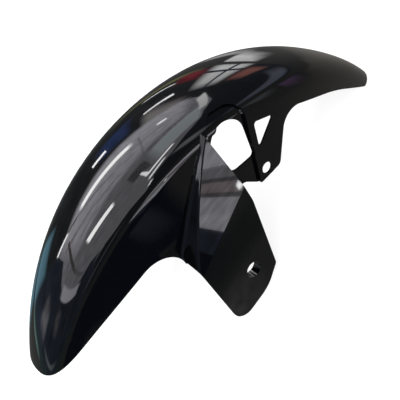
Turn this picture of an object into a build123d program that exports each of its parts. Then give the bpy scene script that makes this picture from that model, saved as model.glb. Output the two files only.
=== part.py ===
"""Front mudguard of a motorcycle, moulded in one piece from glossy black plastic.

+X points forward, +Y to the left and +Z up, as the guard hangs between the fork legs. The origin
is the middle of the lower bolt axis, which runs along Y through the two ears. Side views are drawn
on the XZ plane. The left half is built and then mirrored to the right.
"""

import os
from math import cos, radians, sin, tan

from build123d import *

# Shell: an arch over the wheel, with straight flanks under a full, rounded crown
wall = 2.8
arch_x = -19.0  # centre of the arch, near the wheel's axle
nose_angle = 39.7  # end of the crown in front, above the level of the arch's centre
tail_angle = 174.5  # end of the crown behind
top_angle = 122.0  # where the crown is nearest to the tyre
crown_radius = 320.5  # arch's centre to the crown, there
crown_top = 229.5  # height over the bolt axis that a crown of that radius would have
arch_flare = 28.4  # how far the crown has opened out 60 degrees further on
crown_height = 41.5  # crown down to where the flanks are straight
crown_fullness = 0.715  # 0.55 is a round crown, 1 a square one
widest_angle = 115.0
half_width = 75.5  # at the widest section
nose_half_width = 49.0
tail_half_width = 41.5
taper_power = 2.5  # how late the width falls off towards the ends
flank_foot = 130.0  # how near to the arch's centre the flanks reach before they are trimmed
section_count = 7

# Lower edge in front: the nose edge, an arch, and the front edge of the ears
nose_edge_z = 137.2  # where it would meet the front edge of the ears
nose_edge_slope = 1.5  # rises towards the nose
ear_front_x, ear_front_z = 43.7, 90.0  # a point on the front edge of the ears
ear_front_lean = 12.5  # forward, going down
front_arch_radius = 41.0

# Lower edge behind, from the flank inside the ear to the tail
inner_edge_z = 84.2
lug_front_x = -90.0  # where the edge turns down to the upper lug
lug_foot_front = (-104.5, 57.5)
lug_foot_rear = (-143.5, 46.0)
lug_notch = (-203.0, 99.4)  # between the upper lug and the tail
tail_edge_bend = (-280.0, 22.7)
tail_end_x, tail_end_z = -333.0, -57.0
inner_edge_radius = 14.0
lug_front_radius = 12.0
lug_rear_radius = 9.0
lug_notch_radius = 30.0
tail_edge_radius = 300.0
tail_end_radius = 10.0

# Wing: a flat ear outside the fork leg, folded inwards above and closed by a sloping ridge
ear_half_span = 102.5  # middle of the guard to the ear's outer face
fold_rear = (-81.0, 111.0)
fold_front = (30.0, 82.8)
ridge_rear = (-107.0, 190.5)  # the ridge, at the level of the ear's face
ridge_front = (55.0, 77.5)
ridge_rear_rise = 5.4  # how far it stands out of the flank at its rear end
ridge_bow = 5.0  # how far the ridge bends out from straight
ridge_draft = 16.0  # its wall spreads towards the flank
free_edge_top = (-110.8, 240.0)  # the rear edge runs up to here, past the ridge
ear_rear_bend = (-75.0, 83.0)
ear_rear_foot = (-26.8, -33.6)
ear_foot = (8.0, -50.0)  # lowest point, from where the lower edge rises to the front
ear_foot_slope = 4.5
ear_bend_radius = 60.0
ear_rear_radius = 7.0
ear_tip_radius = 22.0
ridge_radius = 3.0
fold_radius = 4.0
root_softness = 0.22  # rounding where the wing grows out of the flank, as a share of how far it stands out

# Recess for the fork leg, a window in its floor and a slit behind it
fork_rake = 28.0
recess_top = (-141.0, 191.8)  # middle of the upper edge
recess_width = 62.0
recess_length = 176.0
recess_corner_radius = 24.0
recess_depth = 5.0
window = [((-118.2, 150.3), 28.8), ((-124.0, 105.5), 7.0), ((-104.0, 120.5), 14.0)]  # corner circles
slit = [((-159.3, 129.3), 4.3), ((-177.6, 115.0), 3.5), ((-144.7, 104.2), 3.2)]

# Bolt holes: a plain hole in the upper lug, a short tube behind the ear
lug_bolt = (-125.8, 65.3)
lug_hole_radius = 8.4
ear_hole_radius = 12.5
ear_tube_length = 14.5
ear_tube_wall = 2.5

arch_z = crown_top - crown_radius
root_radius = root_softness * (ear_half_span - half_width)
past_flank = half_width + 1.0
reach = 1.25 * crown_radius  # past the guard on every side


def section_plane(angle):
    """The plane of a cross-section: its x runs along Y and its y away from the arch's centre."""
    tangent = (sin(radians(angle)), 0, -cos(radians(angle)))
    return Plane(origin=(arch_x, 0, arch_z), x_dir=(0, 1, 0), z_dir=tangent)


def cross_section(angle, inset):
    """Left half of a cross-section of the arch."""
    end_angle, end_half_width = nose_angle, nose_half_width
    if angle > widest_angle:
        end_angle, end_half_width = tail_angle, tail_half_width
    taper = ((angle - widest_angle) / (end_angle - widest_angle)) ** taper_power
    half = half_width - (half_width - end_half_width) * taper - inset
    top = crown_radius + arch_flare * ((angle - top_angle) / 60) ** 2
    crown, shoulder, foot = top - inset, top - crown_height, flank_foot - inset
    flank_handle = shoulder + crown_fullness * (crown - shoulder)
    with BuildSketch(section_plane(angle)) as section:
        with BuildLine():
            Bezier((half, shoulder), (half, flank_handle), (crown_fullness * half, crown), (0, crown))
            Polyline((0, crown), (0, foot), (half, foot), (half, shoulder))
        make_face()
    return section.sketch


def arch_form(inset, overrun):
    """The solid arch inside the inset, its ends a few degrees past the nose and the tail."""
    first, last = nose_angle - overrun, tail_angle + overrun
    step = (last - first) / (section_count - 1)
    sections = [cross_section(first + step * index, inset) for index in range(section_count)]
    with BuildPart() as form:
        loft(sections=sections)
    return form.part


def fold_plane(inset):
    """The plane of the panel, which leans in from the fold to the ridge's rear end, moved by the inset."""
    rear = Vector(fold_rear[0], ear_half_span, fold_rear[1])
    run = Vector(fold_front[0] - fold_rear[0], 0, fold_front[1] - fold_rear[1]).normalized()
    up = Vector(-run.Z, 0, run.X)
    panel_height = (Vector(ridge_rear[0], 0, ridge_rear[1]) - rear).dot(up)
    panel_lean = ear_half_span - half_width - ridge_rear_rise
    normal = (Vector(0, panel_height, 0) + up * panel_lean).normalized()
    return Plane(origin=rear - normal * inset, x_dir=run, z_dir=normal)


def under_wing(inset):
    """Everything below the ridge and inside the ear and the fold, moved inwards by the inset.

    The ridge is a shallow arc, so its wall is a large cylinder, which leans out towards the flank.
    """
    rear = Vector(ridge_rear[0], ear_half_span, ridge_rear[1])
    front = Vector(ridge_front[0], ear_half_span, ridge_front[1])
    run = (front - rear).normalized()
    outward = Vector(-run.Z, 0, run.X)
    lean = outward * sin(radians(ridge_draft)) - Vector(0, cos(radians(ridge_draft)), 0)
    arc_radius = (front - rear).length ** 2 / (8 * ridge_bow) + ridge_bow / 2
    ridge_plane = Plane(origin=(rear + front) / 2, x_dir=run, z_dir=lean)
    with BuildPart() as block:
        with BuildSketch(ridge_plane):
            with Locations((0, ridge_bow - arc_radius)):
                Circle(arc_radius - inset)
        extrude(amount=2 * ear_half_span, both=True)
        split(bisect_by=Plane.XZ, keep=Keep.BOTTOM)
        split(bisect_by=Plane.XZ.offset(inset - ear_half_span), keep=Keep.TOP)
        split(bisect_by=fold_plane(inset), keep=Keep.BOTTOM)
    return block.part


def recess_block(margin):
    """The outline of the fork leg's recess with a margin round it, through the whole left side."""
    axis = (sin(radians(fork_rake)), -cos(radians(fork_rake)))
    middle = (recess_top[0] + axis[0] * recess_length / 2, recess_top[1] + axis[1] * recess_length / 2)
    with BuildPart() as block:
        with BuildSketch(Plane.XZ):
            with Locations(middle):
                RectangleRounded(
                    recess_width + 2 * margin,
                    recess_length + 2 * margin,
                    recess_corner_radius + margin,
                    rotation=fork_rake,
                )
        extrude(amount=-past_flank)
    return block.part


def opening(corners):
    """The outline drawn tightly round its corner circles, in side view."""
    with BuildSketch(Plane.XZ) as outline:
        for centre, radius in corners:
            with Locations(centre):
                Circle(radius)
        make_hull()
    return outline.sketch


outer_form = arch_form(inset=0, overrun=4)
inner_form = arch_form(inset=wall, overrun=6)

# Everything below the nose edge and in front of the ears
front_run = -tan(radians(ear_front_lean))
nose_rise = tan(radians(nose_edge_slope))
arch_corner = (ear_front_x + (nose_edge_z - ear_front_z) * front_run, nose_edge_z)
nose_edge_end = (reach, nose_edge_z + (reach - arch_corner[0]) * nose_rise)
ear_front_end = (ear_front_x + (-reach - ear_front_z) * front_run, -reach)
with BuildPart() as front_trim:
    with BuildSketch(Plane.XZ):
        with BuildLine():
            FilletPolyline(nose_edge_end, arch_corner, ear_front_end, radius=front_arch_radius)
            Polyline(ear_front_end, (reach, -reach), nose_edge_end)
        make_face()
    extrude(amount=-reach)

# Everything below the flank's edge behind, but not the ear outside it
with BuildPart() as rear_trim:
    with BuildSketch(Plane.XZ):
        with BuildLine():
            FilletPolyline(
                (reach, inner_edge_z),
                (lug_front_x, inner_edge_z),
                lug_foot_front,
                lug_foot_rear,
                lug_notch,
                tail_edge_bend,
                (tail_end_x, tail_end_z),
                (-reach, tail_end_z),
                radius=(
                    inner_edge_radius,
                    lug_front_radius,
                    lug_rear_radius,
                    lug_notch_radius,
                    tail_edge_radius,
                    tail_end_radius,
                ),
            )
            Polyline((-reach, tail_end_z), (-reach, -reach), (reach, -reach), (reach, inner_edge_z))
        make_face()
    extrude(amount=-(half_width + ear_half_span - ear_tube_length) / 2)

# Left wing as a solid block, which runs on past the front edge
ear_foot_end = (reach, ear_foot[1] + (reach - ear_foot[0]) * tan(radians(ear_foot_slope)))
with BuildPart() as wing:
    add(under_wing(inset=0))
    with BuildSketch(Plane.XZ):
        with BuildLine():
            FilletPolyline(
                ear_foot_end,
                ear_foot,
                ear_rear_foot,
                ear_rear_bend,
                free_edge_top,
                radius=(ear_bend_radius, ear_rear_radius, ear_bend_radius),
            )
            Polyline(free_edge_top, (reach, free_edge_top[1]), ear_foot_end)
        make_face()
    extrude(amount=-ear_half_span, mode=Mode.INTERSECT)
    fold_line = Axis(fold_plane(0).origin, fold_plane(0).x_dir)
    fillet(wing.edges().filter_by(fold_line), fold_radius)
    ridge_wall = wing.faces().filter_by(GeomType.CYLINDER).sort_by(SortBy.AREA)[-1]
    fillet(ridge_wall.edges().filter_by(lambda edge: edge.center().Y > half_width), ridge_radius)

with BuildPart() as mudguard:
    # shell and wing, hollowed
    add(outer_form)
    add(wing.part)
    fillet(mudguard.edges(Select.NEW).sort_by(SortBy.LENGTH)[-1], root_radius)
    add(inner_form, mode=Mode.SUBTRACT)
    add(under_wing(inset=wall) - outer_form, mode=Mode.SUBTRACT)

    # recess, window and slit
    add((recess_block(margin=wall) & outer_form) - arch_form(inset=recess_depth + wall, overrun=6))
    add(recess_block(margin=0) - arch_form(inset=recess_depth, overrun=6), mode=Mode.SUBTRACT)
    extrude(opening(window), amount=-past_flank, mode=Mode.SUBTRACT)
    extrude(opening(slit), amount=-past_flank, mode=Mode.SUBTRACT)

    # outline
    add(front_trim.part, mode=Mode.SUBTRACT)
    fillet(mudguard.edges(Select.NEW).filter_by(Axis.Y).sort_by(Axis.Z)[0], ear_tip_radius)
    add(rear_trim.part, mode=Mode.SUBTRACT)

    # bolt holes
    with BuildSketch(Plane.XZ.offset(-ear_half_span)):
        Circle(ear_hole_radius + ear_tube_wall)
    extrude(amount=ear_tube_length)
    with BuildSketch(Plane.XZ.offset(-ear_half_span)):
        Circle(ear_hole_radius)
    extrude(amount=ear_tube_length, mode=Mode.SUBTRACT)
    with BuildSketch(Plane.XZ):
        with Locations(lug_bolt):
            Circle(lug_hole_radius)
    extrude(amount=-past_flank, mode=Mode.SUBTRACT)

    # right half
    mirror(about=Plane.XZ)

mudguard.part.label = "mudguard"
os.makedirs("parts", exist_ok=True)
export_step(mudguard.part, "parts/mudguard.step")
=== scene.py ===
"""Looks of the motorcycle front mudguard: gloss black paint outside, bare moulded plastic inside.

Everything is in metres in the part's own frame: +X forward, +Y left, +Z up, with the origin in the
middle of the lower bolt axis. The arch's sizes repeat the named sizes of the part's source, in mm.
"""

from math import cos, hypot, radians, sin, tan

import bmesh
import bpy
import numpy as np
from mathutils import Matrix, Vector


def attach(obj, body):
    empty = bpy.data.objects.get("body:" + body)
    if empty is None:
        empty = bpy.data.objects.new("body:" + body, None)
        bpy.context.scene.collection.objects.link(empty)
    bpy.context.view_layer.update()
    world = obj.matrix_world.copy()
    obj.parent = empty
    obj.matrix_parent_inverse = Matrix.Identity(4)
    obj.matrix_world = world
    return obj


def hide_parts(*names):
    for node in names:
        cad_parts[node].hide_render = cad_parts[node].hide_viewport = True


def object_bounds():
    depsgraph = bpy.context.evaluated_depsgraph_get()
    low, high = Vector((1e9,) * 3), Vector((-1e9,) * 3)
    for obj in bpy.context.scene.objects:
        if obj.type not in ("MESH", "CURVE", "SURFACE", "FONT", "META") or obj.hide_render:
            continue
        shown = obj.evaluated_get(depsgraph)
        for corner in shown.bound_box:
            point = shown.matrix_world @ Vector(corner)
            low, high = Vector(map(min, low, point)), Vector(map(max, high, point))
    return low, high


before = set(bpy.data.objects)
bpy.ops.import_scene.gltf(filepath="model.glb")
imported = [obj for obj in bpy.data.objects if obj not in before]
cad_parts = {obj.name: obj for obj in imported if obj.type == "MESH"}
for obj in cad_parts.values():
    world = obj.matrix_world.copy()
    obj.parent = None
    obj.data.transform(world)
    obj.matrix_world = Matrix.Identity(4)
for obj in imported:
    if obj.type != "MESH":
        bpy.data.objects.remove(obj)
cad_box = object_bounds()
mm_per_metre = 1000

# Arch of the shell, mm and degrees
wall = 2.8
arch_x, arch_z = -19.0, -91.0
nose_angle, tail_angle = 39.7, 174.5
top_angle, crown_radius = 122.0, 320.5
arch_flare, flare_angle = 28.4, 60.0  # how far the crown has opened out, this far from its top
crown_height, crown_fullness = 41.5, 0.715
widest_angle, half_width = 115.0, 75.5
nose_half_width, tail_half_width, taper_power = 49.0, 41.5, 2.5
recess_depth = 5.0
section_steps = 800  # in the table of the crown's section

# How the shell's surfaces are told apart, mm and degrees
merge_gap = 0.001
peak_half_width, peak_height = 20.0, 0.1  # what stands higher over the middle of the crown is a peak
face_gap, corner_gap = 1.5, 0.5  # a face's middle and a corner are this near to the skin they lie on
same_way = 0.9  # least cosine between the directions of a face and its skin
inward = -0.5  # a face that turns further to the middle than this is bare
plate_area = 900.0  # faces in one plane make a plate if they cover more, in square mm
plane_turns, plane_steps = 500, 10  # how finely planes are told apart, by direction and for each mm
sharp_angle = 25.0

# Camera, as the photograph was taken
view_target = Vector((-0.0398, 0.0, 0.0638))
view_azimuth, view_elevation, view_roll = 176.228, 44.461, -53.4
view_distance = 0.970
lens, sensor_width = 60.23, 36.0

# Stage
floor_gap = 0.0002  # under the guard's lowest point
floor_z = cad_box[0][2] - floor_gap
floor_size = 30.0  # half a side
floor_grey, floor_glow = 0.3, 0.85
ambient_light = 0.5  # share of the white backdrop that lights the guard


class Expr:
    """A shader value that adds Math nodes when Python operators are used on it."""

    def __init__(self, nodes, socket):
        self.nodes, self.socket = nodes, socket

    def math(self, operation, *values):
        return self.nodes.make("ShaderNodeMath", "Value", {"operation": operation}, *values)

    def __add__(self, other):
        return self.math("ADD", self, other)

    def __sub__(self, other):
        return self.math("SUBTRACT", self, other)

    def __rsub__(self, other):
        return self.math("SUBTRACT", other, self)

    def __mul__(self, other):
        return self.math("MULTIPLY", self, other)

    def up_to(self, limit):
        return self.math("MINIMUM", self, limit)

    __radd__ = __add__
    __rmul__ = __mul__


class Nodes:
    """The node tree of one material or world."""

    def __init__(self, owner):
        owner.use_nodes = True
        self.tree = owner.node_tree
        self.tree.nodes.clear()

    def make(self, kind, output, settings=None, *values, **named):
        """Adds a node, sets it up and returns one output; values go to its sockets in order or by name."""
        node = self.tree.nodes.new(kind)
        for key, value in (settings or {}).items():
            setattr(node, key, value)
        by_name = {socket.identifier.replace(" ", "_"): socket for socket in node.inputs}
        wanted = list(zip(node.inputs, values)) + [(by_name[key], value) for key, value in named.items()]
        for socket, value in wanted:
            if isinstance(value, Expr):
                self.tree.links.new(value.socket, socket)
            else:
                socket.default_value = value
        return Expr(self, node.outputs[output]) if output is not None else node

    def noise(self, scale, detail):
        """Clouds about 1 / scale metres across that stay in place on the piece."""
        place = self.make("ShaderNodeTexCoord", "Object")
        return self.make("ShaderNodeTexNoise", "Fac", {}, Vector=place, Scale=scale, Detail=detail)

    def blend(self, part, first, second):
        """A colour between two others."""
        colour_output = 2
        return self.make(
            "ShaderNodeMix", colour_output, {"data_type": "RGBA"}, part,
            A_Color=(*first, 1.0), B_Color=(*second, 1.0),
        )


def new_material(name):
    material = bpy.data.materials.new(name)
    return material, Nodes(material)


def new_piece(name, corners, faces, material):
    mesh = bpy.data.meshes.new(name)
    mesh.from_pydata(corners, [], faces)
    mesh.materials.append(material)
    piece = bpy.data.objects.new(name, mesh)
    bpy.context.collection.objects.link(piece)
    return piece


def gloss_paint():
    """Black plastic under clear lacquer, a little hazy and very slightly wavy."""
    material, nodes = new_material("gloss_black_paint")
    haze = nodes.noise(scale=38.0, detail=4.0)
    sink = nodes.noise(scale=20.0, detail=1.0)
    wavy = nodes.make("ShaderNodeBump", "Normal", {}, Strength=1.0, Distance=0.0001, Height=sink)
    shader = nodes.make(
        "ShaderNodeBsdfPrincipled", "BSDF", {},
        Base_Color=nodes.blend(haze, (0.0008, 0.0009, 0.0011), (0.0018, 0.0019, 0.0023)),
        Roughness=haze * 0.05 + 0.03,
        IOR=1.5,
        Coat_Weight=1.0,
        Coat_Roughness=0.015,
        Coat_IOR=1.5,
        Normal=wavy,
    )
    nodes.make("ShaderNodeOutputMaterial", None, {}, Surface=shader)
    return material


def moulded_plastic():
    """The bare inside, with the fine grain of the mould."""
    material, nodes = new_material("moulded_black_plastic")
    grain = nodes.noise(scale=900.0, detail=3.0)
    flow = nodes.noise(scale=14.0, detail=3.0)
    rough = nodes.make("ShaderNodeBump", "Normal", {}, Strength=0.5, Distance=0.00012, Height=grain)
    shader = nodes.make(
        "ShaderNodeBsdfPrincipled", "BSDF", {},
        Base_Color=nodes.blend(flow, (0.009, 0.009, 0.010), (0.017, 0.017, 0.018)),
        Roughness=grain * 0.2 + flow * 0.1 + 0.38,
        IOR=1.5,
        Normal=rough,
    )
    nodes.make("ShaderNodeOutputMaterial", None, {}, Surface=shader)
    return material


# Section of the crown from the flank to the middle, as shares of its height and half width
share = np.linspace(0, 1, section_steps + 1)
rise = 3 * share * (1 - share) ** 2 * crown_fullness + 3 * share**2 * (1 - share) + share**3
spread = (1 - share) ** 3 + 3 * share * (1 - share) ** 2 + 3 * share**2 * (1 - share) * crown_fullness


def on_arch(points):
    """Points in mm as reach from the arch's centre, angle and distance from the middle."""
    x, z = points[:, 0] - arch_x, points[:, 2] - arch_z
    return np.hypot(x, z), np.degrees(np.arctan2(z, x)) % 360, np.abs(points[:, 1])


def crown(angle):
    return crown_radius + arch_flare * ((angle - top_angle) / flare_angle) ** 2


def width(angle):
    end = np.where(angle < widest_angle, nose_angle, tail_angle)
    end_width = np.where(angle < widest_angle, nose_half_width, tail_half_width)
    taper = np.abs((angle - widest_angle) / (end - widest_angle)) ** taper_power
    return half_width - (half_width - end_width) * taper


def over_crown(points):
    """How far points in mm stand out of the crown, and their places pressed back onto it."""
    reach, angle, y = on_arch(points)
    height = np.interp(y / width(angle), spread[::-1], rise[::-1])
    limit = crown(angle) - crown_height * (1 - height)
    centre = np.array([arch_x, 0.0, arch_z])
    scale = np.stack([limit / reach, np.ones_like(reach), limit / reach], axis=1)
    return reach - limit, (points - centre) * scale + centre


def arch_skin(points, inset):
    """Direction of the arch's skin at points in mm, and how far the points lie from the skin."""
    reach, angle, y = on_arch(points)
    bend = crown_height - inset
    along = np.interp(
        (reach - crown(angle) + crown_height) / bend - y / (width(angle) - inset), rise - spread, share
    )
    flank = reach < crown(angle) - crown_height
    small_turn, small_share = 0.05, 0.002

    def skin(at, part):
        out = np.where(flank, reach, crown(at) - crown_height + bend * np.interp(part, share, rise))
        side = (width(at) - inset) * np.where(flank, 1.0, np.interp(part, share, spread))
        return np.stack([out * np.cos(np.radians(at)), side, out * np.sin(np.radians(at))], axis=1)

    lengthwise = skin(angle + small_turn, along) - skin(angle - small_turn, along)
    lower, upper = np.clip(along - small_share, 0, 1), np.clip(along + small_share, 0, 1)
    across = skin(angle, upper) - skin(angle, lower)
    radial = np.stack([np.cos(np.radians(angle)), 0 * angle, np.sin(np.radians(angle))], axis=1)
    across[flank] = radial[flank]
    direction = np.cross(lengthwise, across)
    direction /= np.linalg.norm(direction, axis=1, keepdims=True)
    direction[:, 1] *= np.where(points[:, 1] < 0, -1.0, 1.0)
    here = radial * reach[:, None]
    here[:, 1] = y
    gap = np.abs(skin(angle, along) - here).max(axis=1)
    return direction, gap


def on_skin(points, facings, inset, nearness, facing=1):
    """Which points lie on a skin and face as it does, and the skin's direction there."""
    direction, gap = arch_skin(points, inset)
    direction *= facing
    return (gap < nearness) & ((direction * facings).sum(axis=1) > same_way), direction


def press_peak(work):
    """Merges a small peak on the middle of the crown into one corner that lies on the crown."""
    points = np.array([vertex.co for vertex in work.verts]) * mm_per_metre
    stands_out = (np.abs(points[:, 1]) < peak_half_width) & (over_crown(points)[0] > peak_height)
    peak = [vertex for vertex, out in zip(work.verts, stands_out) if out]
    pressed = over_crown(points[stands_out].mean(axis=0, keepdims=True))[1][0]
    bmesh.ops.pointmerge(work, verts=peak, merge_co=Vector(pressed / mm_per_metre))


def split_curved_faces(work):
    """Makes smaller faces where the outer skin is curved."""
    centres = np.array([face.calc_center_median() for face in work.faces]) * mm_per_metre
    facings = np.array([face.normal for face in work.faces])
    curved = np.zeros(len(centres), bool)
    for inset in (0, recess_depth):
        curved |= on_skin(centres, facings, inset, face_gap)[0]
    for face, is_curved in zip(work.faces, curved.tolist()):
        face.tag = is_curved
    edges = [edge for edge in work.edges if any(face.tag for face in edge.link_faces)]
    bmesh.ops.subdivide_edges(work, edges=edges, cuts=1)
    bmesh.ops.triangulate(work, faces=work.faces)


def merged_shell():
    """A merged copy of the CAD shell, shaded smoothly between its sharp edges."""
    work = bmesh.new()
    work.from_mesh(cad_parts["mudguard"].data)
    bmesh.ops.remove_doubles(work, verts=work.verts, dist=merge_gap / mm_per_metre)
    press_peak(work)
    split_curved_faces(work)
    rough_mesh = bpy.data.meshes.new("merged_shell")
    work.to_mesh(rough_mesh)
    work.free()
    rough_mesh.shade_smooth()
    rough_mesh.set_sharp_from_angle(angle=radians(sharp_angle))

    rough = bpy.data.objects.new("merged_shell", rough_mesh)
    bpy.context.collection.objects.link(rough)
    by_area = rough.modifiers.new("normals_by_area", "WEIGHTED_NORMAL")
    by_area.keep_sharp = True
    mesh = bpy.data.meshes.new_from_object(rough.evaluated_get(bpy.context.evaluated_depsgraph_get()))
    mesh.name = "mudguard_shell"
    bpy.data.objects.remove(rough)
    bpy.data.meshes.remove(rough_mesh)
    return mesh


def read(items, key, columns, kind=float):
    """One value of every item of a mesh, in rows of so many columns."""
    values = np.empty(len(items) * columns, kind)
    items.foreach_get(key, values)
    return values.reshape(-1, columns)


def on_plate(facings, centres, areas):
    """Which faces belong to large flat plates."""
    offsets = (facings * centres).sum(axis=1)
    planes = np.round(np.column_stack([facings * plane_turns, offsets * plane_steps]))
    _, plane = np.unique(planes, axis=0, return_inverse=True)
    plane = plane.ravel()
    return np.bincount(plane, areas)[plane] > plate_area


def lay_skin(mesh):
    """Gives corners the exact direction of their plate or skin, and inner faces the second material."""
    corner_vertex = read(mesh.loops, "vertex_index", 1, np.int32).ravel()
    corners = read(mesh.vertices, "co", 3)[corner_vertex] * mm_per_metre
    corner_normals = read(mesh.corner_normals, "vector", 3)
    face_normals = read(mesh.polygons, "normal", 3)
    areas = read(mesh.polygons, "area", 1).ravel() * mm_per_metre**2
    centres = corners.reshape(-1, 3, 3).mean(axis=1)

    facings = np.repeat(face_normals, 3, axis=0)
    flat = np.repeat(on_plate(face_normals, centres, areas), 3)
    corner_normals[flat] = facings[flat]
    inside = np.repeat(np.sign(centres[:, 1]), 3) * facings[:, 1] < inward
    for inset, facing in ((0, 1), (recess_depth, 1), (wall, -1), (recess_depth + wall, -1)):
        covered, direction = on_skin(corners, facings, inset, corner_gap, facing)
        corner_normals[covered] = direction[covered]
        if facing < 0:
            inside |= covered
    mesh.normals_split_custom_set(corner_normals)
    mesh.polygons.foreach_set("material_index", inside.reshape(-1, 3).all(axis=1).astype(np.int32))


def painted_shell():
    """The CAD shell, with the exact direction of its curved skin, so that gloss runs smoothly."""
    mesh = merged_shell()
    lay_skin(mesh)
    shell = bpy.data.objects.new("mudguard_shell", mesh)
    bpy.context.collection.objects.link(shell)
    mesh.materials.append(gloss_paint())
    mesh.materials.append(moulded_plastic())
    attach(shell, "root")
    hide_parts("mudguard")


def rectangle(rear, front, right, left):
    return [(rear, right), (front, right), (front, left), (rear, left)]


def square(size):
    return rectangle(-size, size, -size, size)


def looked_at(nodes):
    """1 for what is seen straight, in gloss or through something clear, and 0 for light on other things."""
    path = nodes.make("ShaderNodeLightPath", None)
    straight, glossy, clear = (
        Expr(nodes, path.outputs[f"Is {kind} Ray"]) for kind in ("Camera", "Glossy", "Transmission")
    )
    return straight + glossy + clear


def white_floor():
    """A pale floor that stays white to the camera and keeps the guard's shadow."""
    material, nodes = new_material("pale_floor")
    paper = nodes.make("ShaderNodeBsdfDiffuse", "BSDF", {}, Color=(floor_grey, floor_grey, floor_grey, 1.0))
    strength = looked_at(nodes) * floor_glow
    glow = nodes.make("ShaderNodeEmission", "Emission", {}, Color=(1, 1, 1, 1), Strength=strength)
    both = nodes.make("ShaderNodeAddShader", "Shader", {}, paper, glow)
    nodes.make("ShaderNodeOutputMaterial", None, {}, Surface=both)
    corners = [(x, y, floor_z) for x, y in square(floor_size)]
    floor = new_piece("floor", corners, [(0, 1, 2, 3)], material)


def faded(nodes, shader, softness):
    """The shader with edges that fade to nothing over the softness, a share of each side."""
    place = nodes.make("ShaderNodeUVMap", "UV")
    sides = nodes.make("ShaderNodeSeparateXYZ", None, {}, place)
    steepness = 1 / (softness * (1 - softness))
    fades = []
    for side in ("X", "Y"):
        along = Expr(nodes, sides.outputs[side])
        fades.append((along * (1 - along) * steepness).up_to(1.0))
    clear = nodes.make("ShaderNodeBsdfTransparent", "BSDF")
    return nodes.make("ShaderNodeMixShader", "Shader", {}, fades[0] * fades[1], clear, shader)


def card(name, corners, faces, places, colour, strength, softness=0.0, unevenness=0.0, cloud_size=1.25):
    """A card of the room round the guard, seen only in its gloss, with soft edges and clouds if wanted."""
    material, nodes = new_material(name)
    shade = (*colour, 1.0)
    if unevenness:
        darker = [level * (1 - unevenness) for level in colour]
        lighter = [level * (1 + unevenness) for level in colour]
        shade = nodes.blend(nodes.noise(scale=1 / cloud_size, detail=3.0), darker, lighter)
    shader = nodes.make("ShaderNodeEmission", "Emission", {}, Color=shade, Strength=strength)
    if softness:
        shader = faded(nodes, shader, softness)
    nodes.make("ShaderNodeOutputMaterial", None, {}, Surface=shader)
    piece = new_piece(name, corners, faces, material)
    if softness:
        layer = piece.data.uv_layers.new(name="card")
        for loop, corner in zip(piece.data.loops, layer.data):
            corner.uv = places[loop.vertex_index]
    piece.visible_camera = False
    piece.visible_diffuse = False
    piece.visible_shadow = False
    piece.visible_transmission = False


def flat_card(name, corners, colour, strength, **looks):
    card(name, corners, [tuple(range(len(corners)))], rectangle(0, 1, 0, 1), colour, strength, **looks)


# The room round the guard, in metres and degrees
ceiling_height = 8.0
wall_distance = 25.0
wall_heights = (-5, 71)
wall_step = 6  # about one face of a card round the wall
roof_angle = 70  # height of the roof where it meets the wall
roof_size = 1.2 * wall_distance  # half a side
layer_gap = 0.004  # each layer of cards hangs nearer than the one before it, by this share
lowest_card, floor_layer_gap = 0.0012, 0.0002  # over the floor, and over the layer before
rafter_slope = -0.38  # to the left, going forward
bench_sides = (0.55, 2.2)
bench_lean, bench_pivot = 0.24, 0.8  # forward, for each metre to the left of this line

# Colours of the room
white = (1.0, 1.0, 1.0)
cream = (1.0, 1.0, 0.98)
sand = (1.0, 0.95, 0.87)
olive = (1.0, 0.95, 0.5)
brown = (1.0, 0.9, 0.82)
rose = (1.0, 0.93, 0.93)
dark_rose = (1.0, 0.85, 0.85)
pink = (1.0, 0.84, 0.9)
red = (1.0, 0.42, 0.36)
crimson = (1.0, 0.14, 0.2)
purple = (1.0, 0.6, 1.2)
lilac = (0.92, 0.91, 1.0)
pale_lilac = (0.95, 0.95, 1.0)
ice = (0.9, 1.0, 1.05)
cool = (0.86, 0.95, 1.0)
pale_blue = (0.85, 0.92, 1.0)
slate = (0.7, 0.8, 1.0)
dark_slate = (0.7, 0.78, 1.0)
navy = (0.55, 0.68, 1.0)
pale_navy = (0.6, 0.68, 1.0)
deep_blue = (0.6, 0.8, 1.5)
blue = (0.2, 0.36, 1.0)
teal = (0.38, 0.78, 1.0)
pale_teal = (0.38, 0.8, 1.0)
sea_green = (0.6, 1.0, 0.9)
pale_green = (0.9, 1.0, 0.97)


def overhead(name, outline, colour, layer, strength, **looks):
    """A card on the ceiling; its corners are degrees from straight up, forward and to the left."""
    height = ceiling_height * (1 - layer_gap * layer)
    corners = []
    for forward, left in outline:
        angle = hypot(forward, left)
        stretch = tan(radians(angle)) / angle * height
        corners.append((forward * stretch, left * stretch, height))
    flat_card(name, corners, colour, strength, **looks)


def on_wall(name, bearings, heights, colour, layer, strength, **looks):
    """A card round the wall; bearings are degrees from ahead to the left, heights degrees upwards."""
    distance = wall_distance * (1 - layer_gap * layer)
    first, last = bearings
    count = max(1, round((last - first) / wall_step))
    corners, places = [], []
    for step in range(count + 1):
        turn = radians(first + (last - first) * step / count)
        for edge, height in enumerate(heights):
            corners.append((distance * cos(turn), distance * sin(turn), distance * tan(radians(height))))
            places.append((step / count, edge))
    faces = [(2 * step, 2 * step + 2, 2 * step + 3, 2 * step + 1) for step in range(count)]
    card(name, corners, faces, places, colour, strength, **looks)


def on_floor(name, outline, colour, layer, strength, **looks):
    """A card lying just over the floor, its corners in metres."""
    height = floor_z + lowest_card + floor_layer_gap * layer
    flat_card(name, [(x, y, height) for x, y in outline], colour, strength, **looks)


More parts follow.
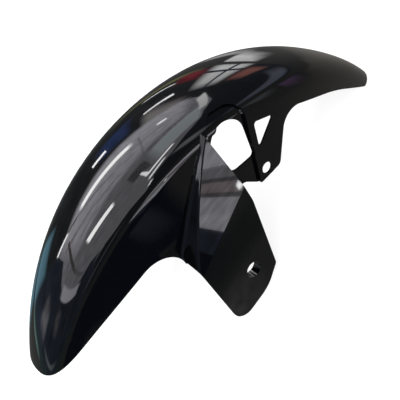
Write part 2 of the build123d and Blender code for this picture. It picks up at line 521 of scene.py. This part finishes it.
def room_walls():
    on_wall("wall_front", (-62, 62), wall_heights, navy, 0, 0.11, unevenness=0.9, cloud_size=4.0)
    on_wall("wall_left", (58, 122), wall_heights, slate, 1, 0.06, unevenness=0.5)
    on_wall("wall_rear", (118, 215), wall_heights, slate, 2, 0.07, unevenness=0.5)
    on_wall("wall_right", (212, 302), wall_heights, pale_blue, 3, 0.06, unevenness=0.7, cloud_size=3.0)
    on_wall("dado", (-62, 62), (-3, 8), sea_green, 4, 0.1, softness=0.3)
    on_wall("teal_door", (287, 304), (-4, 18.5), teal, 5, 0.65, softness=0.2)
    on_wall(
        "blue_board", (250, 267), (17, 33), blue, 5, 0.34,
        softness=0.25, unevenness=0.6, cloud_size=2.0,
    )
    on_wall("red_board", (203, 217), (3, 19), red, 5, 0.7, softness=0.3)
    on_wall("window", (217, 231), (-4, 21), white, 6, 1.6, softness=0.25)
    on_wall("pale_wall", (228, 247), (23, 44), rose, 5, 0.9, softness=0.2)
    on_wall(
        "front_streak", (-49, -36), (9, 24), lilac, 5, 0.42,
        softness=0.35, unevenness=0.8, cloud_size=2.0,
    )
    on_wall(
        "front_patch", (-24, -4), (23, 36), lilac, 5, 0.3,
        softness=0.4, unevenness=0.9, cloud_size=2.0,
    )
    on_wall("front_line", (-36, 12), (10, 13), cool, 5, 0.45, softness=0.35)
    on_wall("green_edge", (-60, -40), (-5, 3), sea_green, 5, 0.5, softness=0.35)
    on_wall("left_line", (52, 78), (33, 35), lilac, 5, 1.3, softness=0.2)
    on_wall("left_line_low", (50, 80), (14, 15.5), lilac, 5, 0.9, softness=0.2)
    on_wall("left_line_high", (48, 72), (44, 46), lilac, 5, 1.1, softness=0.2)
    on_wall(
        "crimson_board", (229.5, 240), (1, 12), crimson, 8, 0.4,
        softness=0.4, unevenness=0.8, cloud_size=1.5,
    )
    on_wall("olive_edge", (232, 262), (-2, 5), olive, 5, 0.35, softness=0.35)
    on_wall("strip_light", (238, 250), (8, 9.2), white, 8, 3.0, softness=0.15)
    on_wall("window_bar", (216, 232), (5.2, 7), navy, 7, 0.1)
    on_wall("window_post", (223, 224.2), (-4, 21), navy, 7, 0.15)
    on_wall("rear_strip", (120, 200), (1, 12), dark_slate, 5, 0.5, softness=0.25)
    on_wall("rear_column", (111, 123), (8, 40), pale_lilac, 5, 0.8, softness=0.35)


def room_ceiling():
    roof_height = wall_distance * tan(radians(roof_angle))
    flat_card("roof", [(x, y, roof_height) for x, y in square(roof_size)], navy, 0.06)
    overhead(
        "ceiling",
        [
            (-2, 75), (8, 64), (20, 58), (28, 45), (33, 30), (42, 20), (47.5, 28), (47.5, -17), (42, -32),
            (33, -43), (32, -51), (17, -52), (-17, -48), (-28, -47.5), (-45, -42), (-50, -30), (-51, -17),
            (-45, 0), (-42, 13), (-30, 30), (-22, 42), (-9, 52), (-3, 64),
        ],
        lilac, 1, 0.84, unevenness=0.5, cloud_size=0.9,
    )
    overhead(
        "ceiling_right", [(-45, -46), (32, -50), (34, -21), (-40, -21)], lilac, 2, 1.7,
        softness=0.12, unevenness=0.45, cloud_size=0.8,
    )
    overhead("ceiling_front", [(40, -30), (47.5, -27), (47.5, 27), (41, 28)], lilac, 3, 1.8, softness=0.15)
    overhead("ceiling_rear", [(-46, -22), (-15.5, -18), (-15.5, 20), (-42, 12)], cool, 3, 1.9, softness=0.12)
    overhead("beam", [(-14.5, -15), (-3.5, -15), (-3.5, 7), (-14.5, 18)], brown, 4, 0.06, softness=0.1)
    overhead("purlin", [(-4, -3.6), (17, -15), (16.5, -16.2), (-4.5, -4.8)], brown, 4, 0.5)
    overhead("purlin_right", [(-7, -22), (23.5, -33), (23, -34.2), (-7.5, -23.2)], brown, 4, 0.6)
    for number, (rear, left, length, breadth, strength) in enumerate((
        (-2, 6, 26, 0.9, 0.45), (4, -1, 22, 0.6, 0.5), (-12, -27, 40, 0.7, 0.6), (-6, -30.5, 36, 1.1, 0.55),
        (-14, -36, 44, 0.6, 0.5), (-4, -40, 30, 0.9, 0.5), (26, -8, 14, 0.8, 0.35), (27, -19, 14, 1.2, 0.4),
        (30, 6, 12, 0.9, 0.3), (-30, -24, 22, 0.9, 0.7), (-34, -34, 20, 0.8, 0.5),
    )):
        front, front_left = rear + length, left + rafter_slope * length
        outline = [(rear, left), (front, front_left), (front, front_left - breadth), (rear, left - breadth)]
        overhead(f"rafter_{number}", outline, brown, 4, strength)
    overhead("tie_front", [(25, -46), (37, 18), (38.8, 18), (26.8, -46)], brown, 4, 0.25)
    overhead("tie_middle", [(-20, -46), (-16, -20), (-15, -20), (-19, -46)], brown, 4, 0.6)
    overhead("brown_beam", [(14, 80), (30, 85), (44, 30), (33, 28)], dark_rose, 4, 0.28, softness=0.2)


def room_lamps():
    for name, outline, layer, strength, softness in (
        ("lamp_over", [(6.5, 0), (25, -8.5), (24, -18.5), (5.5, -9)], 5, 9.0, 0.08),
        ("lamp_left", [(-27, 22), (-8, 33), (-8, 26.5), (-26.5, 17)], 5, 7.0, 0.1),
        ("lamp_left_long", [(-11, 31), (-8, 31), (-8, 5), (-9.5, 5)], 6, 7.0, 0.1),
        ("lamp_left_far", [(-20, 37), (-6.5, 50), (-6.5, 44), (-18, 34)], 5, 7.0, 0.1),
        ("lamp_left_end", [(-8, 60), (-3.5, 68), (-2.5, 65), (-6, 58)], 5, 6.0, 0.15),
        ("lamp_rear", [(-48, -9), (-43, -9), (-45, -38), (-50, -41)], 5, 2.8, 0.15),
        ("lamp_right", [(-17, -44.5), (14.5, -49), (14, -51.5), (-17, -48)], 5, 7.0, 0.1),
        ("lamp_right_front", [(22.5, -50), (32.5, -52), (32.5, -53.5), (22.5, -51.5)], 5, 6.0, 0.1),
        ("lamp_right_rear", [(-40, -58), (-27, -59), (-27, -60), (-40, -59.5)], 5, 5.0, 0.0),
        ("lamp_right_end", [(-8.5, -60), (-1, -61), (-1, -63.5), (-8.5, -62.5)], 5, 6.0, 0.0),
        ("lamp_spot", [(-32.5, -39), (-27.5, -41), (-27.5, -43.5), (-32.5, -41.5)], 5, 6.0, 0.2),
    ):
        overhead(name, outline, white, layer, strength, softness=softness)


def room_floor():
    on_floor("dark_floor", square(floor_size), cream, 0, 0.085)
    on_floor(
        "near_floor", rectangle(-0.01, 0.16, 0.095, 0.17), cream, 1, 0.17,
        softness=0.4, unevenness=0.7, cloud_size=0.02,
    )
    for name, outline, colour, layer, strength, softness in (
        ("ear_shade", rectangle(-0.12, 0.1, 0.165, 0.245), pale_green, 1, 0.05, 0.3),
        ("tail_cloth", [(-1.1, -0.3), (-0.2, -0.25), (-0.2, 0.25), (-1.1, 0.3)], sand, 1, 0.19, 0.3),
        ("dark_cloth", [(-0.02, 0.195), (0.9, 0.1), (1.2, 1.5), (-0.1, 0.9)], deep_blue, 1, 0.022, 0.03),
        ("navy_box", [(0.015, 0.27), (0.1, 0.27), (0.14, 0.46), (0.03, 0.42)], pale_navy, 2, 0.11, 0.3),
        ("purple_cloth", [(-0.4, 0.2), (-1.5, 0.55), (-1.3, 1.0), (-0.38, 0.3)], purple, 2, 0.28, 0.3),
        ("pale_cloth", [(-0.42, 0.36), (-1.2, 1.0), (-0.8, 1.3), (-0.38, 0.44)], ice, 3, 0.3, 0.3),
        ("teal_floor", [(0.25, -0.4), (0.45, -0.38), (1.8, -3.0), (1.0, -3.0)], pale_teal, 2, 0.4, 0.2),
        ("side_cloth", [(-0.45, -0.3), (-0.8, -0.62), (-0.7, -0.9), (-0.4, -0.6)], white, 1, 0.5, 0.35),
        (
            "facet_light", [(-0.07, 0.79), (-0.048, 0.79), (-0.05, 0.86), (-0.066, 0.885)],
            white, 5, 11.0, 0.25,
        ),
        ("window_floor", [(-0.68, -0.38), (-3.2, -2.4), (-2.6, -2.9), (-0.54, -0.44)], white, 2, 1.2, 0.2),
    ):
        on_floor(name, outline, colour, layer, strength, softness=softness)


def bench():
    """Bands that lie side by side to the left of the guard, from the front to the rear."""
    edges = (0.13, 0.069, -0.03, -0.046, -0.084, -0.1, -0.15, -0.29)
    bands = (
        ("bench_side", navy, 0.14),
        ("bench_near", lilac, 1.7),
        ("bench_gap", lilac, 0.35),
        ("bench_middle", pink, 0.95),
        ("bench_far_gap", lilac, 0.3),
        ("bench_far", lilac, 0.9),
        ("bench_end", lilac, 2.0),
    )
    for (name, colour, strength), front, rear in zip(bands, edges, edges[1:]):
        straight = rectangle(rear, front, *bench_sides)
        outline = [(x + bench_lean * (y - bench_pivot), y) for x, y in straight]
        on_floor(name, outline, colour, 3, strength, unevenness=0.8, cloud_size=0.05)


def soft_light():
    world = bpy.data.worlds.new("soft_light")
    bpy.context.scene.world = world
    nodes = Nodes(world)
    strength = looked_at(nodes) * (1 - ambient_light) + ambient_light
    backdrop = nodes.make("ShaderNodeBackground", "Background", {}, Color=(1, 1, 1, 1), Strength=strength)
    nodes.make("ShaderNodeOutputWorld", None, {}, Surface=backdrop)
    for name, place, size, power in (
        ("key_light", (0.8, 1.2, 2.2), 1.6, 60.0),
        ("fill_light", (-1.4, -1.0, 2.0), 1.6, 30.0),
    ):
        light = bpy.data.lights.new(name, "AREA")
        light.size = size
        light.energy = power
        lamp = bpy.data.objects.new(name, light)
        towards_guard = Vector(place).to_track_quat("Z", "Y").to_matrix().to_4x4()
        lamp.matrix_world = Matrix.Translation(place) @ towards_guard
        lamp.visible_glossy = False
        bpy.context.collection.objects.link(lamp)


def camera():
    lens_data = bpy.data.cameras.new("camera")
    lens_data.sensor_width = sensor_width
    lens_data.lens = lens
    turn, tilt = radians(view_azimuth), radians(view_elevation)
    back = Vector((sin(turn) * cos(tilt), -cos(turn) * cos(tilt), sin(tilt)))
    right = Vector((cos(turn), sin(turn), 0.0))
    axes = Matrix((right, back.cross(right), back)).transposed() @ Matrix.Rotation(radians(view_roll), 3, "Z")
    eye = bpy.data.objects.new("camera", lens_data)
    eye.matrix_world = Matrix.Translation(view_target + back * view_distance) @ axes.to_4x4()
    bpy.context.collection.objects.link(eye)
    bpy.context.scene.camera = eye


painted_shell()
white_floor()
room_walls()
room_ceiling()
room_lamps()
room_floor()
bench()
soft_light()
camera()
bpy.context.scene.view_settings.view_transform = "Standard"
